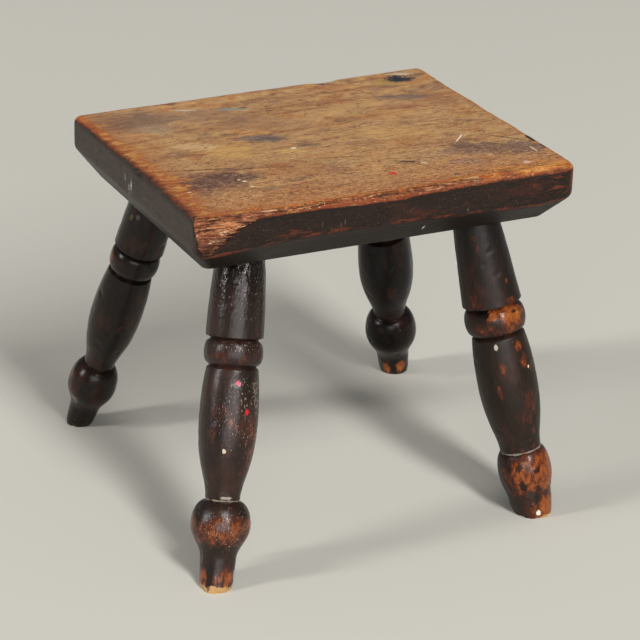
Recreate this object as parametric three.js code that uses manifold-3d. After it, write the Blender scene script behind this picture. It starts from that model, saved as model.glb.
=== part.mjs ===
// Milking stool: a thick chamfered board on four turned, splayed legs
//
// Each leg ends in a round tenon that sits in a blind socket bored at the leg's own splay. A wedge
// waits in a saw kerf across the tenon's end. When the leg is driven home the socket's bottom
// pushes the wedge in, and the spread tenon can't pull out again. The skirt of the leg is pared to
// lie against the underside of the board. All sizes are in millimetres, +Z is up, and the stool
// stands on z = 0. The board's long side runs along X and its front faces -Y.
import * as THREE from 'three';
import { mergeVertices } from 'three/addons/utils/BufferGeometryUtils.js';
import Module from 'manifold-3d';

const wasm = await Module();
wasm.setup();

// Sizes of the board
const SEAT_HEIGHT = 262;
const SEAT_FRONT_LENGTH = 293;
const SEAT_BACK_LENGTH = 288;
const SEAT_LEFT_DEPTH = 224;
const SEAT_RIGHT_DEPTH = 230;
const SEAT_THICKNESS = 43;
const EDGE_BAND = 24;
const FRONT_BAND_AT_LEFT = 23;
const FRONT_BAND_AT_RIGHT = 26;
const CHAMFER_INSET_ENDS = 14;
const CHAMFER_INSET_SIDES = 16;
const ARRIS_RADIUS = 4.5;

// Sizes of the wear that changes the board's outline
const HOLLOW_FROM_RIGHT = 86;
const HOLLOW_LENGTH = 54;
const HOLLOW_DEPTH = 5.5;
const CHIP_ALONG_FRONT = 44;
const CHIP_ALONG_END = 6;
const CHIP_DROP_AT_FRONT = 3;

// Sizes of the socket joint
const TENON_RADIUS = 12.5;
const TENON_SPREAD = 0.7;
const TENON_CLEARANCE = 0.3;
const SHOULDER_GAP = 0.3;
const SOCKET_COVER = 9;
const KERF_STOP = 8;
const WEDGE_TIP = 0.8;
const WEDGE_HEAD = 4;
const WEDGE_CLEARANCE = 0.3;

// Sizes of the turning that all four legs share
const GROOVE_WIDTH = 3;
const GROOVE_DEPTH = 2.6;
const NECK_LINE_WIDTH = 1.2;
const NECK_LINE_DEPTH = 0.7;
const TURNING_SIDES = 24;
const CURVE_STEPS = 5;

// Shape of the turned curves, as shares of the length of the part that each one shapes
const BULB_WIDEST_BELOW_TOP = 0.42;
const BULB_FULLNESS = 0.25;
const BULB_TURN_IN = 0.03;
const BELLY_BELOW_TOP = 0.4;
const NECK_STRAIGHT = 0.16;
const BELLY_FULLNESS_BELOW = 0.36;
const BELLY_FULLNESS_ABOVE = 0.18;
const VASE_TURN_IN = 0.08;
const BEAD_TURN_IN = 0.05;

// The legs were turned and set by eye, so each has its own place, splay, lengths and radii.
// Lengths run down the leg from the underside of the board, splay is in degrees from upright.
const FRONT_LEFT = {
  socketFromEnd: 52.5, socketFromSide: 41.5, splayToEnd: 11.8, splayToSide: 17.1,
  skirtLength: 60.5, beadLength: 16, vaseLength: 90, bulbLength: 41, footLength: 20,
  skirtTopRadius: 16.6, skirtSwell: 1.6, skirtFootRadius: 19.9, beadRadius: 21.3, beadBulge: 3.8,
  bellyRadius: 20.4, neckRadius: 12.2, bulbRadius: 20.8, ankleRadius: 12.4, footRadius: 11.4,
};
const FRONT_RIGHT = {
  socketFromEnd: 61.5, socketFromSide: 36, splayToEnd: 8.7, splayToSide: 13.2,
  skirtLength: 65, beadLength: 19, vaseLength: 87, bulbLength: 39, footLength: 17,
  skirtTopRadius: 16.4, skirtSwell: 0.2, skirtFootRadius: 21.4, beadRadius: 23.4, beadBulge: 5.5,
  bellyRadius: 21.6, neckRadius: 15, bulbRadius: 19.5, ankleRadius: 15.6, footRadius: 12.6,
};
const BACK_LEFT = {
  socketFromEnd: 55.5, socketFromSide: 38.5, splayToEnd: 11, splayToSide: 16.1,
  skirtLength: 62.5, beadLength: 18.5, vaseLength: 86, bulbLength: 44, footLength: 18,
  skirtTopRadius: 16.8, skirtSwell: 0.6, skirtFootRadius: 18.8, beadRadius: 19.8, beadBulge: 4.6,
  bellyRadius: 19.2, neckRadius: 11.6, bulbRadius: 18.5, ankleRadius: 11, footRadius: 9.6,
};
const BACK_RIGHT = {
  socketFromEnd: 58.5, socketFromSide: 45, splayToEnd: 14, splayToSide: 14.7,
  skirtLength: 61, beadLength: 18, vaseLength: 84, bulbLength: 45.5, footLength: 18.5,
  skirtTopRadius: 17, skirtSwell: 0.8, skirtFootRadius: 20, beadRadius: 21.1, beadBulge: 4.4,
  bellyRadius: 21.4, neckRadius: 12.8, bulbRadius: 20.2, ankleRadius: 12.7, footRadius: 11.4,
};

const UNDERSIDE = SEAT_HEIGHT - SEAT_THICKNESS;
const REACH = 2 * (SEAT_FRONT_LENGTH + SEAT_LEFT_DEPTH + SEAT_HEIGHT);

// Each corner of the board: its place, which way is outwards, how far its upright edge is worn
// round, and the leg under it
const LEFT_END = -SEAT_FRONT_LENGTH / 2;
const FRONT_EDGE = -SEAT_LEFT_DEPTH / 2;
const CORNERS = [
  {
    name: 'front_left', x: LEFT_END, y: FRONT_EDGE,
    endSide: -1, longSide: -1, cornerRadius: 5.5, leg: FRONT_LEFT,
  },
  {
    name: 'front_right', x: LEFT_END + SEAT_FRONT_LENGTH, y: FRONT_EDGE,
    endSide: 1, longSide: -1, cornerRadius: 10, leg: FRONT_RIGHT,
  },
  {
    name: 'back_right', x: LEFT_END + SEAT_BACK_LENGTH, y: FRONT_EDGE + SEAT_RIGHT_DEPTH,
    endSide: 1, longSide: 1, cornerRadius: 8, leg: BACK_RIGHT,
  },
  {
    name: 'back_left', x: LEFT_END, y: FRONT_EDGE + SEAT_LEFT_DEPTH,
    endSide: -1, longSide: 1, cornerRadius: 5.5, leg: BACK_LEFT,
  },
];

// Closed three.js geometry to a solid that can be cut and joined
function solidFrom(geometry) {
  const bare = geometry.clone();
  bare.deleteAttribute('normal');
  bare.deleteAttribute('uv');
  const merged = mergeVertices(bare, 1e-4);
  const corners = merged.index.array;
  const kept = [];
  for (let i = 0; i < corners.length; i += 3) {
    const [a, b, c] = [corners[i], corners[i + 1], corners[i + 2]];
    if (a !== b && b !== c && c !== a) {
      kept.push(a, b, c);
    }
  }
  const vertProperties = new Float32Array(merged.attributes.position.array);
  const triVerts = new Uint32Array(kept);
  return new wasm.Manifold(new wasm.Mesh({ numProp: 3, vertProperties, triVerts }));
}

function geometryFrom(solid) {
  const mesh = solid.getMesh();
  const geometry = new THREE.BufferGeometry();
  geometry.setAttribute('position', new THREE.BufferAttribute(new Float32Array(mesh.vertProperties), 3));
  geometry.setIndex(new THREE.BufferAttribute(new Uint32Array(mesh.triVerts), 1));
  geometry.computeVertexNormals();
  return geometry;
}

// Everything on the far side of the plane through a, b and c, seen with a, b, c anticlockwise
function beyondPlane(a, b, c) {
  const along = b.clone().sub(a).normalize();
  const out = along.clone().cross(c.clone().sub(a)).normalize();
  const across = out.clone().cross(along);
  const block = new THREE.BoxGeometry(REACH, REACH, REACH);
  block.translate(0, 0, REACH / 2);
  block.applyMatrix4(new THREE.Matrix4().makeBasis(along, across, out));
  block.translate(a.x, a.y, a.z);
  return solidFrom(block);
}

// A turning about Z from an outline of radius and height that runs upwards from axis to axis
function turned(outline) {
  const geometry = new THREE.LatheGeometry(outline, TURNING_SIDES);
  geometry.rotateX(Math.PI / 2);
  return solidFrom(geometry);
}

// Place and splay of the leg under a corner, with +Z up along the leg and its origin where the
// leg's centre line leaves the underside of the board
function legPlacement(corner) {
  const { leg, endSide, longSide } = corner;
  const upTheLeg = new THREE.Vector3(
    -endSide * Math.tan(THREE.MathUtils.degToRad(leg.splayToEnd)),
    -longSide * Math.tan(THREE.MathUtils.degToRad(leg.splayToSide)),
    1,
  ).normalize();
  const position = new THREE.Vector3(
    corner.x - endSide * leg.socketFromEnd,
    corner.y - longSide * leg.socketFromSide,
    UNDERSIDE,
  );
  const quaternion = new THREE.Quaternion().setFromUnitVectors(new THREE.Vector3(0, 0, 1), upTheLeg);
  return { position, quaternion, slope: Math.acos(upTheLeg.z) };
}

// Level plane at a height above the floor, as three points in the leg's own frame
function levelPlaneInLeg(placement, height, faceUp) {
  const turnBack = placement.quaternion.clone().invert();
  const points = [[0, 0], [1, 0], [0, 1]].map(([x, y]) =>
    new THREE.Vector3(x, y, height).sub(placement.position).applyQuaternion(turnBack));
  const [corner, alongX, alongY] = points;
  return faceUp ? beyondPlane(corner, alongX, alongY) : beyondPlane(corner, alongY, alongX);
}

// The socket stops SOCKET_COVER below the top face at the highest point of its tilted rim
function tenonLength(placement) {
  const rise = SEAT_THICKNESS - SOCKET_COVER - TENON_RADIUS * Math.sin(placement.slope);
  return rise / Math.cos(placement.slope) - TENON_CLEARANCE;
}

// The spread tenon is widest at its end, and the socket is undercut to match
function tenonOutline(placement, clearance) {
  const length = tenonLength(placement);
  return [
    new THREE.Vector2(0, -KERF_STOP),
    new THREE.Vector2(TENON_RADIUS + clearance, -KERF_STOP),
    new THREE.Vector2(TENON_RADIUS + clearance, KERF_STOP),
    new THREE.Vector2(TENON_RADIUS + TENON_SPREAD + clearance, length + clearance),
    new THREE.Vector2(0, length + clearance),
  ];
}

// The wedge tapers down the tenon from its end to the bottom of the kerf. It lies across the
// board's grain, so that it spreads the tenon along the grain and can't split the board.
function wedgeBlank(placement, clearance) {
  const head = tenonLength(placement);
  const tipHalf = WEDGE_TIP / 2 + clearance;
  const headHalf = WEDGE_HEAD / 2 + clearance;
  const section = new THREE.Shape();
  section.moveTo(-tipHalf, KERF_STOP - clearance);
  section.lineTo(tipHalf, KERF_STOP - clearance);
  section.lineTo(headHalf, head + clearance);
  section.lineTo(-headHalf, head + clearance);
  section.closePath();
  const width = 4 * TENON_RADIUS;
  const geometry = new THREE.ExtrudeGeometry(section, { depth: width, bevelEnabled: false });
  geometry.rotateX(Math.PI / 2);
  geometry.translate(0, width / 2, 0);
  return solidFrom(geometry);
}

function wedge(placement) {
  return wedgeBlank(placement, 0).intersect(turned(tenonOutline(placement, 0)));
}

// Outline of the turned leg from below the floor to above the underside, as radius and height.
// From the top down it is a skirt, a groove, a bead, a groove, a bottle-shaped vase, a thin line
// at the neck, a bulb and a tapered foot.
function legOutline(leg, placement) {
  const skirtEnd = -leg.skirtLength;
  const beadTop = skirtEnd - GROOVE_WIDTH;
  const beadEnd = beadTop - leg.beadLength;
  const vaseTop = beadEnd - GROOVE_WIDTH;
  const neck = vaseTop - leg.vaseLength;
  const bulbTop = neck - NECK_LINE_WIDTH;
  const bulbWidest = bulbTop - leg.bulbLength * BULB_WIDEST_BELOW_TOP;
  const ankle = bulbTop - leg.bulbLength;
  const footEnd = ankle - leg.footLength;
  const spareEnd = Math.min(footEnd, -UNDERSIDE / Math.cos(placement.slope)) - 2 * leg.footRadius;
  const beadEdge = leg.beadRadius - leg.beadBulge;
  const vaseTopRadius = leg.bellyRadius - GROOVE_DEPTH;
  const skirtRise = 2 * leg.skirtTopRadius * Math.tan(placement.slope);

  const outline = new THREE.Path();
  outline.moveTo(0, spareEnd);
  outline.lineTo(leg.footRadius, spareEnd);
  outline.lineTo(leg.footRadius, footEnd);
  outline.lineTo(leg.ankleRadius, ankle);
  // The foot swells into the bulb in a long S, and the bulb turns in sharply at the neck
  outline.bezierCurveTo(
    leg.ankleRadius, ankle + leg.bulbLength * BULB_FULLNESS,
    leg.bulbRadius, bulbWidest - leg.bulbLength * BULB_FULLNESS,
    leg.bulbRadius, bulbWidest,
  );
  outline.bezierCurveTo(
    leg.bulbRadius, bulbWidest + leg.bulbLength * BULB_FULLNESS,
    (leg.neckRadius + leg.bulbRadius) / 2, bulbTop - leg.bulbLength * BULB_TURN_IN,
    leg.neckRadius, bulbTop,
  );
  outline.lineTo(leg.neckRadius - NECK_LINE_DEPTH, neck - NECK_LINE_WIDTH / 2);
  outline.lineTo(leg.neckRadius, neck);
  // The vase runs straight at the neck, swells to its belly above mid height, and draws in again
  const belly = vaseTop - leg.vaseLength * BELLY_BELOW_TOP;
  outline.bezierCurveTo(
    leg.neckRadius, neck + leg.vaseLength * NECK_STRAIGHT,
    leg.bellyRadius, belly - leg.vaseLength * BELLY_FULLNESS_BELOW,
    leg.bellyRadius, belly,
  );
  outline.bezierCurveTo(
    leg.bellyRadius, belly + leg.vaseLength * BELLY_FULLNESS_ABOVE,
    leg.bellyRadius - GROOVE_DEPTH / 2, vaseTop - leg.vaseLength * VASE_TURN_IN,
    vaseTopRadius, vaseTop,
  );
  outline.lineTo(Math.min(vaseTopRadius, beadEdge) - GROOVE_DEPTH / 2, beadEnd - GROOVE_WIDTH / 2);
  outline.lineTo(beadEdge, beadEnd);
  outline.bezierCurveTo(
    leg.beadRadius, beadEnd + leg.beadLength * BEAD_TURN_IN,
    leg.beadRadius, beadTop - leg.beadLength * BEAD_TURN_IN,
    beadEdge, beadTop,
  );
  outline.lineTo(Math.min(beadEdge, leg.skirtFootRadius) - GROOVE_DEPTH / 2, skirtEnd - GROOVE_WIDTH / 2);
  outline.lineTo(leg.skirtFootRadius, skirtEnd);
  outline.quadraticCurveTo(
    (leg.skirtTopRadius + leg.skirtFootRadius) / 2 + leg.skirtSwell, skirtEnd / 2,
    leg.skirtTopRadius, 0,
  );
  outline.lineTo(leg.skirtTopRadius, skirtRise);
  outline.lineTo(0, skirtRise);
  return outline.getPoints(CURVE_STEPS);
}

// The skirt is pared level against the board, the foot is sawn level with the floor, and the
// tenon is turned on the end and kerfed for its wedge
function turnedLeg(leg, placement) {
  const aboveShoulder = levelPlaneInLeg(placement, UNDERSIDE - SHOULDER_GAP, true);
  const belowFloor = levelPlaneInLeg(placement, 0, false);
  return turned(legOutline(leg, placement))
    .subtract(aboveShoulder)
    .subtract(belowFloor)
    .add(turned(tenonOutline(placement, 0)))
    .subtract(wedgeBlank(placement, WEDGE_CLEARANCE));
}

// Plan of the board: four straight edges with each corner rounded to an arc of its own radius
function boardPlan() {
  const plan = new THREE.Shape();
  CORNERS.forEach((corner, i) => {
    const radius = corner.cornerRadius;
    const here = new THREE.Vector2(corner.x, corner.y);
    const before = CORNERS[(i + 3) % 4];
    const after = CORNERS[(i + 1) % 4];
    const back = new THREE.Vector2(before.x, before.y).sub(here).normalize();
    const on = new THREE.Vector2(after.x, after.y).sub(here).normalize();
    const halfAngle = Math.acos(back.dot(on)) / 2;
    const centre = back.clone().add(on).setLength(radius / Math.sin(halfAngle)).add(here);
    // The arc starts square to the edge it comes from and ends square to the edge it runs into
    const start = Math.atan2(back.x, -back.y);
    const end = Math.atan2(-on.x, on.y);
    plan.absarc(centre.x, centre.y, radius, start, end, false);
  });
  plan.closePath();
  return plan;
}

// The top arris is worn round. The lower rounding of the blank is sawn off with its spare depth.
function boardBlank() {
  const geometry = new THREE.ExtrudeGeometry(boardPlan(), {
    depth: SEAT_THICKNESS,
    bevelThickness: ARRIS_RADIUS,
    bevelSize: ARRIS_RADIUS,
    bevelOffset: -ARRIS_RADIUS,
    bevelSegments: 3,
    curveSegments: CURVE_STEPS,
  });
  geometry.translate(0, 0, SEAT_HEIGHT - SEAT_THICKNESS - ARRIS_RADIUS);
  const belowBoard = beyondPlane(
    new THREE.Vector3(0, 0, UNDERSIDE),
    new THREE.Vector3(0, 1, UNDERSIDE),
    new THREE.Vector3(1, 0, UNDERSIDE),
  );
  return solidFrom(geometry).subtract(belowBoard);
}

// Chamfer under one edge, from a band height at each end of the edge in to the underside
function chamfer(from, to, bandAtFrom, bandAtTo, inset) {
  const start = new THREE.Vector3(from.x, from.y, SEAT_HEIGHT - bandAtFrom);
  const end = new THREE.Vector3(to.x, to.y, SEAT_HEIGHT - bandAtTo);
  const along = new THREE.Vector3(to.x - from.x, to.y - from.y, 0).normalize();
  const inwards = new THREE.Vector3(-along.y, along.x, 0);
  const foot = new THREE.Vector3(from.x, from.y, UNDERSIDE).addScaledVector(inwards, inset);
  return beyondPlane(end, start, foot);
}

function chamfers() {
  const [frontLeft, frontRight, backRight, backLeft] = CORNERS;
  return [
    chamfer(frontLeft, frontRight, FRONT_BAND_AT_LEFT, FRONT_BAND_AT_RIGHT, CHAMFER_INSET_SIDES),
    chamfer(frontRight, backRight, EDGE_BAND, EDGE_BAND, CHAMFER_INSET_ENDS),
    chamfer(backRight, backLeft, EDGE_BAND, EDGE_BAND, CHAMFER_INSET_SIDES),
    chamfer(backLeft, frontLeft, EDGE_BAND, EDGE_BAND, CHAMFER_INSET_ENDS),
  ];
}

// Hollow worn into the back arris, cut by a large round laid across it at 45 degrees
function wornHollow() {
  const backRight = CORNERS[2];
  const radius = (HOLLOW_LENGTH ** 2 / 4 + HOLLOW_DEPTH ** 2) / (2 * HOLLOW_DEPTH);
  const scoop = new THREE.CylinderGeometry(radius, radius, 8 * HOLLOW_DEPTH, 2 * TURNING_SIDES);
  scoop.rotateX(-Math.PI / 4);
  const middle = new THREE.Vector3(backRight.x - HOLLOW_FROM_RIGHT, backRight.y, SEAT_HEIGHT);
  middle.addScaledVector(new THREE.Vector3(0, 1, 1).normalize(), radius - HOLLOW_DEPTH);
  scoop.translate(middle.x, middle.y, middle.z);
  return solidFrom(scoop);
}

// Long splinter broken off the front left corner, from the top arris down to the chamfer
function brokenCorner() {
  const corner = CORNERS[0];
  return beyondPlane(
    new THREE.Vector3(corner.x, corner.y, SEAT_HEIGHT - FRONT_BAND_AT_LEFT),
    new THREE.Vector3(corner.x + CHIP_ALONG_FRONT, corner.y, SEAT_HEIGHT - CHIP_DROP_AT_FRONT),
    new THREE.Vector3(corner.x, corner.y + CHIP_ALONG_END, SEAT_HEIGHT),
  );
}

function seatBoard() {
  let board = boardBlank();
  for (const cut of [...chamfers(), wornHollow(), brokenCorner()]) {
    board = board.subtract(cut);
  }
  for (const corner of CORNERS) {
    const placement = legPlacement(corner);
    const socket = geometryFrom(turned(tenonOutline(placement, TENON_CLEARANCE)));
    socket.applyQuaternion(placement.quaternion);
    socket.translate(placement.position.x, placement.position.y, placement.position.z);
    board = board.subtract(solidFrom(socket));
  }
  return board;
}

// Finishes: honey-brown worn board, near-black stained legs, bare wood on the hidden wedges
function wornBoardWood() {
  return new THREE.MeshStandardMaterial({ color: 0x8a5a30, roughness: 0.55, metalness: 0 });
}

function darkStainedWood() {
  return new THREE.MeshStandardMaterial({ color: 0x2e211c, roughness: 0.4, metalness: 0 });
}

function bareWedgeWood() {
  return new THREE.MeshStandardMaterial({ color: 0xb58d5a, roughness: 0.8, metalness: 0 });
}

function namedMesh(name, solid, material) {
  const mesh = new THREE.Mesh(geometryFrom(solid), material);
  mesh.name = name;
  return mesh;
}

// A leg and its wedge share the frame of their splayed socket
function legGroup(corner) {
  const placement = legPlacement(corner);
  const group = new THREE.Group();
  group.position.copy(placement.position);
  group.quaternion.copy(placement.quaternion);
  group.add(namedMesh(`leg_${corner.name}`, turnedLeg(corner.leg, placement), darkStainedWood()));
  group.add(namedMesh(`wedge_${corner.name}`, wedge(placement), bareWedgeWood()));
  return group;
}

const stool = new THREE.Group();
stool.add(namedMesh('seat_board', seatBoard(), wornBoardWood()));
for (const corner of CORNERS) {
  stool.add(legGroup(corner));
}

// The origin is on the floor under the middle of the whole stool
stool.updateMatrixWorld(true);
const extent = new THREE.Box3().setFromObject(stool, true);
stool.position.x = -(extent.min.x + extent.max.x) / 2;
stool.position.y = -(extent.min.y + extent.max.y) / 2;

export default stool;
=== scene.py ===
import math

import bmesh
import bpy
from mathutils import Matrix, Vector, noise
from mathutils.geometry import interpolate_bezier


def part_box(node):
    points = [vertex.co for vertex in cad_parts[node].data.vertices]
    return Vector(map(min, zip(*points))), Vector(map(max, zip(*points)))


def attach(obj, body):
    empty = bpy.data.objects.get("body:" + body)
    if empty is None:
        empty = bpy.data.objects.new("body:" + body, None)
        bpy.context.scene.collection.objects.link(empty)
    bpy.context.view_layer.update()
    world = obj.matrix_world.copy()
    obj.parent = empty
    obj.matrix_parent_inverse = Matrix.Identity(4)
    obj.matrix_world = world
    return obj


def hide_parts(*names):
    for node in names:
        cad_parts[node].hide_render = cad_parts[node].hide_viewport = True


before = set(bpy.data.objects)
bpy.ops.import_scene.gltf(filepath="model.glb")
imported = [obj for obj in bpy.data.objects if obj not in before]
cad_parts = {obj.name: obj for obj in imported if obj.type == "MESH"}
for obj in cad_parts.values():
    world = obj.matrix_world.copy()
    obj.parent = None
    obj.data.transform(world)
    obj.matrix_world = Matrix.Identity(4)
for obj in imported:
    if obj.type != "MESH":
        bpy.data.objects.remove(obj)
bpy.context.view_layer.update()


# The board
# One thick plank of close-grained country hardwood, stained near black, with its four lower edges
# planed to a chamfer. Use has rubbed the top back to honey-brown wood, worn its edges round, split
# a long splinter off the front left corner and rubbed a hollow into the back edge.
MM = 0.001
board_low, board_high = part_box("seat_board")
TOP = board_high.z
THICKNESS = board_high.z - board_low.z
FRONT_LENGTH = 293 * MM
BACK_LENGTH = 288 * MM
LEFT_DEPTH = 224 * MM
RIGHT_DEPTH = 230 * MM
CHAMFER_IN_ENDS = 14 * MM
CHAMFER_IN_SIDES = 16 * MM
EDGE_BAND = 24 * MM
CORNER_ROUND = {(-1, -1): 5.5 * MM, (1, -1): 10 * MM, (1, 1): 8 * MM, (-1, 1): 5.5 * MM}
ROWS_ALONG = 180
ROWS_ACROSS = 140
ROWS_DEEP = 40

# Places along the front edge, from its left end, with the depth below the top of the lower arris,
# of the stain's ragged upper edge, and the size of the worn top arris there
FRONT_ARRIS_LINE = [(0, 28), (21, 27), (54, 24.4), (91, 22.8), (152, 23.4), (214, 25.2), (255, 27), (293, 25)]
FRONT_STAIN_LINE = [(0, 25), (12, 24), (17, 17), (26, 11.4), (39, 7), (48, 4.7), (90, 5), (120, 6.4),
                    (150, 7), (178, 5.4), (213, 4.6), (261, 4.8), (293, 5)]
FRONT_ROUNDING = [(0, 3.5), (60, 4.2), (150, 4.6), (220, 6.2), (293, 7)]
# The same along the left end, from its front corner
LEFT_ARRIS_LINE = [(0, EDGE_BAND / MM)]
LEFT_STAIN_LINE = [(0, 1.3), (44, 1.3), (79, 0.6), (114, 0.9), (151, 1.7), (190, 2.2), (224, 3.6)]
LEFT_ROUNDING = [(0, 3.8), (80, 4.6), (150, 4.2), (224, 5.5)]
BACK_STAIN_DEPTH = 3.2 * MM
RIGHT_STAIN_DEPTH = 4 * MM
BACK_ROUNDING = 5 * MM
RIGHT_ROUNDING = 5.5 * MM

# How far in from each side the top is rubbed bright
FRONT_RUBBED = [(0, 22), (40, 17), (75, 10), (150, 9), (200, 14), (245, 23), (293, 21)]
LEFT_RUBBED = [(0, 26), (40, 28), (70, 33), (110, 26), (170, 16), (224, 10)]
BACK_RUBBED = 6 * MM
RIGHT_RUBBED = 9 * MM
# How badly the front arris is torn into splinters, in thousandths
FRONT_TORN = [(0, 1000), (45, 900), (75, 640), (110, 660), (190, 860), (225, 520), (262, 200), (293, 60)]
TORN_REACH = 6 * MM

HOLLOW_FROM_RIGHT = 86 * MM
HOLLOW_HALF_LENGTH = 30 * MM
HOLLOW_DEPTH = 5.5 * MM
SPLINTER_ALONG_FRONT = 44 * MM
SPLINTER_ALONG_END = 6 * MM
SPLINTER_DEPTH = 24 * MM
KNOT = Vector((116, 100)) * MM
KNOT_HALF_LENGTH = 14 * MM
KNOT_HALF_WIDTH = 7 * MM
KNOT_DEPTH = 1.3 * MM
WORN_DOWN = 0.45 * MM
GRAIN_DEPTH = 0.12 * MM
TORN_DEPTH = 2.4 * MM
TORN_LAYER = 3.1 * MM
# How far in from an arris its own wear and stain reach
ARRIS_REACH = 4 * MM


def part_way(start, end, share):
    return start + (end - start) * share


def eased(value, low, high):
    """0 up to low, 1 from high on, and a smooth rise between them"""
    share = min(max((value - low) / (high - low), 0), 1)
    return share * share * (3 - 2 * share)


def read_off(line, place):
    """The value that a line of (place, value) pairs in millimetres has at a place in metres"""
    place = place / MM
    for (start, low), (end, high) in zip(line, line[1:]):
        if place <= end:
            return part_way(low, high, eased(place, start, end)) * MM
    return line[-1][1] * MM


def ripple(place, size, stretch=1):
    """Smooth unevenness from -1 to 1, with bumps of one size that may be stretched along the board"""
    return noise.noise(Vector((place.x / stretch, place.y, place.z)) / size)


def gathered(share):
    """Moves even steps from 0 to 1 towards both ends, so that the worn edges get more of them"""
    return part_way(share, (1 - math.cos(math.pi * share)) / 2, 0.55)


def chamfer_inset(depth, band, inset):
    """How far a side lies inside the board's outline at a depth below its top"""
    slope = inset / (THICKNESS - band)
    softness = 0.8 * MM
    past = (depth - band) / softness
    return slope * softness * (math.log1p(math.exp(past)) if past < 30 else past)


def sawn_place(cube):
    """Where a point of the two-metre cube lies on the plank, with how far in from its side it is,
    which way is outwards there, and its depth below the top"""
    along = gathered((cube.x + 1) / 2)
    across = gathered((cube.y + 1) / 2)
    depth = THICKNESS * gathered((1 - cube.z) / 2)
    end_inset = chamfer_inset(depth, EDGE_BAND, CHAMFER_IN_ENDS)
    back_inset = chamfer_inset(depth, EDGE_BAND, CHAMFER_IN_SIDES)
    front_band = read_off(FRONT_ARRIS_LINE, along * FRONT_LENGTH)
    left = board_low.x + end_inset
    right = board_low.x + part_way(FRONT_LENGTH, BACK_LENGTH, across) - end_inset
    front = board_low.y + chamfer_inset(depth, front_band, CHAMFER_IN_SIDES)
    back = board_low.y + part_way(LEFT_DEPTH, RIGHT_DEPTH, along) - back_inset
    x = part_way(left, right, along)
    y = part_way(front, back, across)
    end_side = 1 if along > 0.5 else -1
    long_side = 1 if across > 0.5 else -1
    from_end = x - left if end_side < 0 else right - x
    from_side = y - front if long_side < 0 else back - y
    rounding = CORNER_ROUND[(end_side, long_side)]
    inset = min(from_end, from_side)
    outward = Vector((end_side, 0, 0)) if from_end < from_side else Vector((0, long_side, 0))
    if from_end < rounding and from_side < rounding:
        reach = Vector((rounding - from_end, rounding - from_side))
        square = max(reach)
        if square > 0:
            reach *= square / reach.length
            outward = Vector((end_side * reach.x, long_side * reach.y, 0)).normalized()
        from_end = rounding - reach.x
        from_side = rounding - reach.y
        inset = rounding - square
    x = left + from_end if end_side < 0 else right - from_end
    y = front + from_side if long_side < 0 else back - from_side
    return Vector((x, y, TOP - depth)), inset, outward, depth


def by_side(place, outward, front_line, back, left_line, right):
    """A measure of the nearest side, read off a line along the front or the left end, and blended
    round the corners by which way is outwards"""
    long_value = read_off(front_line, place.x - board_low.x) if outward.y < 0 else back
    end_value = read_off(left_line, place.y - board_low.y) if outward.x < 0 else right
    return part_way(long_value, end_value, outward.x * outward.x)


def round_top_arris(place, inset, outward, depth):
    """Rolls the last few millimetres of the top and of the side onto a rounding"""
    radius = by_side(place, outward, FRONT_ROUNDING, BACK_ROUNDING, LEFT_ROUNDING, RIGHT_ROUNDING)
    radius *= 1 + 0.22 * ripple(place, 17 * MM)
    if inset >= radius or depth >= radius:
        return place
    reach = Vector((radius - inset, radius - depth))
    square = max(reach)
    if square <= 0:
        return place
    reach *= square / reach.length
    place = place + outward * (inset - (radius - reach.x))
    place.z = TOP - (radius - reach.y)
    return place


corner = Vector((board_low.x, board_low.y, TOP))
splinter_foot = corner - Vector((0, 0, SPLINTER_DEPTH))
splinter_tip = corner + Vector((SPLINTER_ALONG_FRONT, 0, -3 * MM))
splinter_back = corner + Vector((0, SPLINTER_ALONG_END, 0))
splinter_out = (splinter_tip - splinter_foot).cross(splinter_back - splinter_foot).normalized()
hollow_out = Vector((0, 1, 1)).normalized()


def split_off(place):
    """How far a point stood out of the face that the splinter left"""
    return (place - splinter_foot).dot(splinter_out)


def torn_fibres(place):
    """Ridges of torn grain, which run along the board in layers, from 0 to 1"""
    wander = 1.5 * MM * ripple(place, 20 * MM)
    layers = (place.z + place.y * 0.6 + wander) / TORN_LAYER + 0.8 * ripple(place, 6 * MM, 4)
    step = layers - math.floor(layers)
    sliver = eased(step, 0, 0.8) * (1 - eased(step, 0.85, 1))
    return part_way(sliver, (1 + ripple(place, 1.6 * MM, 12)) / 2, 0.45)


def worn_place(place, depth):
    """Takes away what use has worn, split and dented"""
    on_top = 1 - eased(depth, 3 * MM, 12 * MM)
    place.z -= on_top * WORN_DOWN * (1 + ripple(place, 55 * MM, 1.6))
    place.z -= on_top * GRAIN_DEPTH * (1 + ripple(place, 5 * MM, 5))

    from_knot = place.xy - KNOT
    knot_reach = math.hypot(from_knot.x / KNOT_HALF_LENGTH, from_knot.y / KNOT_HALF_WIDTH)
    place.z -= on_top * KNOT_DEPTH * (1 - eased(knot_reach, 0.35, 1.1))

    back_edge = Vector((0, board_low.y + part_way(LEFT_DEPTH, RIGHT_DEPTH, 0.7), TOP))
    across_hollow = place.x - (board_low.x + BACK_LENGTH - HOLLOW_FROM_RIGHT)
    hollow = HOLLOW_DEPTH * (1 - eased(abs(across_hollow), 0, HOLLOW_HALF_LENGTH))
    above = (place - back_edge).dot(hollow_out) + hollow
    if hollow > 0 and above > 0:
        place = place - hollow_out * above

    split = split_off(place)
    if split > 0:
        place = place - splinter_out * (split + TORN_DEPTH * torn_fibres(place) * eased(split, 0, 1.2 * MM))
    return place


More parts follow.
